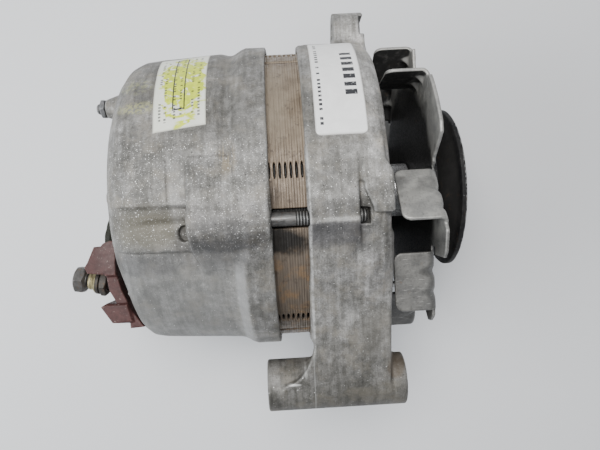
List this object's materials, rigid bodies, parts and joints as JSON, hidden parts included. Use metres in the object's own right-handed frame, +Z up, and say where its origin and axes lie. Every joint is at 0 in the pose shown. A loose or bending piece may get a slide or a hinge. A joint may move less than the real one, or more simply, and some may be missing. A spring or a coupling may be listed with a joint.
{
  "type": "car alternator",
  "caption": "Belt-driven car alternator with two cast end housings, exposed stator band, external pressed fan, V-belt pulley, pivot tube and adjusting ear.",
  "frame": {"origin": "centre of the flat drive end of the rotor shaft", "axes": "+X along the rotor axis from the slip rings to the pulley, +Y towards the adjusting ear, +Z up when the alternator lies on its side with the pivot foot to the side"},
  "size_m": [0.1776, 0.1755, 0.1401],
  "materials": {
    "cast_alloy": "as-cast, weathered",
    "laminations": "lacquered, rust stained",
    "copper": "enamelled wire",
    "fastener_steel": "zinc, aged",
    "dark_steel": "oxidised",
    "washer_brass": "dull",
    "rotor_iron": "forged",
    "shaft_steel": "ground",
    "bearing_steel": "polished",
    "slip_copper": "turned",
    "insulation": "moulded",
    "bobbin": "moulded",
    "fan_steel": "pressed, worn",
    "pulley_black": "worn black",
    "heat_sink": "rolled",
    "diode": "plated",
    "carbon": "graphite",
    "spring_steel": "bright",
    "phenolic": "red-brown moulding, aged",
    "wire_sheath": "dirty",
    "label": "satin film, no text"
  },
  "bodies": {
    "housing": {"rear_housing": "cast_alloy", "front_housing": "cast_alloy", "stator_core": "laminations", "stator_winding": "copper", "through_bolt_1": "fastener_steel", "through_bolt_2": "fastener_steel", "through_bolt_3": "fastener_steel", "front_bearing_outer_ring": "bearing_steel", "rear_bearing_outer_ring": "bearing_steel", "bearing_retainer": "fastener_steel", "retainer_screw_1": "fastener_steel", "retainer_screw_2": "fastener_steel", "retainer_screw_3": "fastener_steel", "negative_diode_1": "diode", "negative_diode_2": "diode", "negative_diode_3": "diode", "negative_heat_sink": "heat_sink", "positive_diode_1": "diode", "positive_diode_2": "diode", "positive_diode_3": "diode", "positive_heat_sink": "heat_sink", "exciter_diode_board": "insulation", "brush_holder": "insulation", "brush_spring_1": "spring_steel", "brush_spring_2": "spring_steel", "holder_screw_1": "fastener_steel", "holder_screw_2": "fastener_steel", "terminal_block": "phenolic", "output_terminal_bolt": "dark_steel", "output_flat_washer": "washer_brass", "output_spring_washer": "dark_steel", "output_nut": "dark_steel", "aux_stud": "fastener_steel", "aux_stud_nut": "fastener_steel", "lead_wire": "wire_sheath", "rear_label": "label", "front_label": "label"},
    "rotor": {"rotor_shaft": "shaft_steel", "claw_pole_front": "rotor_iron", "claw_pole_rear": "rotor_iron", "coil_bobbin": "bobbin", "field_coil": "copper", "slip_ring_sleeve": "insulation", "slip_ring_inner": "slip_copper", "slip_ring_outer": "slip_copper", "front_collar": "shaft_steel", "fan_spacer": "shaft_steel", "front_bearing_inner_ring": "bearing_steel", "rear_bearing_inner_ring": "bearing_steel", "fan": "fan_steel", "pulley_hub": "shaft_steel", "pulley_rear_sheave": "pulley_black", "pulley_front_sheave": "pulley_black", "lock_washer": "fastener_steel", "pulley_nut": "fastener_steel"},
    "front_cage": {"front_bearing_ball_cage": "bearing_steel"},
    "rear_cage": {"rear_bearing_ball_cage": "bearing_steel"},
    "inner_brush": {"brush_1": "carbon"},
    "outer_brush": {"brush_2": "carbon"}
  },
  "joints": [
    {"name": "rotor_spin", "type": "hinge", "parent": "housing", "child": "rotor", "pos_m": [0, 0, 0], "axis": [1, 0, 0], "continuous": true},
    {"name": "front_cage_spin", "type": "hinge", "parent": "housing", "child": "front_cage", "pos_m": [0, 0, 0], "axis": [1, 0, 0], "continuous": true},
    {"name": "rear_cage_spin", "type": "hinge", "parent": "housing", "child": "rear_cage", "pos_m": [0, 0, 0], "axis": [1, 0, 0], "continuous": true},
    {"name": "inner_brush_slide", "type": "slide", "parent": "housing", "child": "inner_brush", "axis": [0, 0, -1], "range_m": [0, 0.006], "deforming": ["brush_spring_1"]},
    {"name": "outer_brush_slide", "type": "slide", "parent": "housing", "child": "outer_brush", "axis": [0, 0, -1], "range_m": [0, 0.006], "deforming": ["brush_spring_2"]}
  ],
  "couplings": [
    {"joint": "front_cage_spin", "follows": "rotor_spin", "ratio": 0.38},
    {"joint": "rear_cage_spin", "follows": "rotor_spin", "ratio": 0.41}
  ]
}
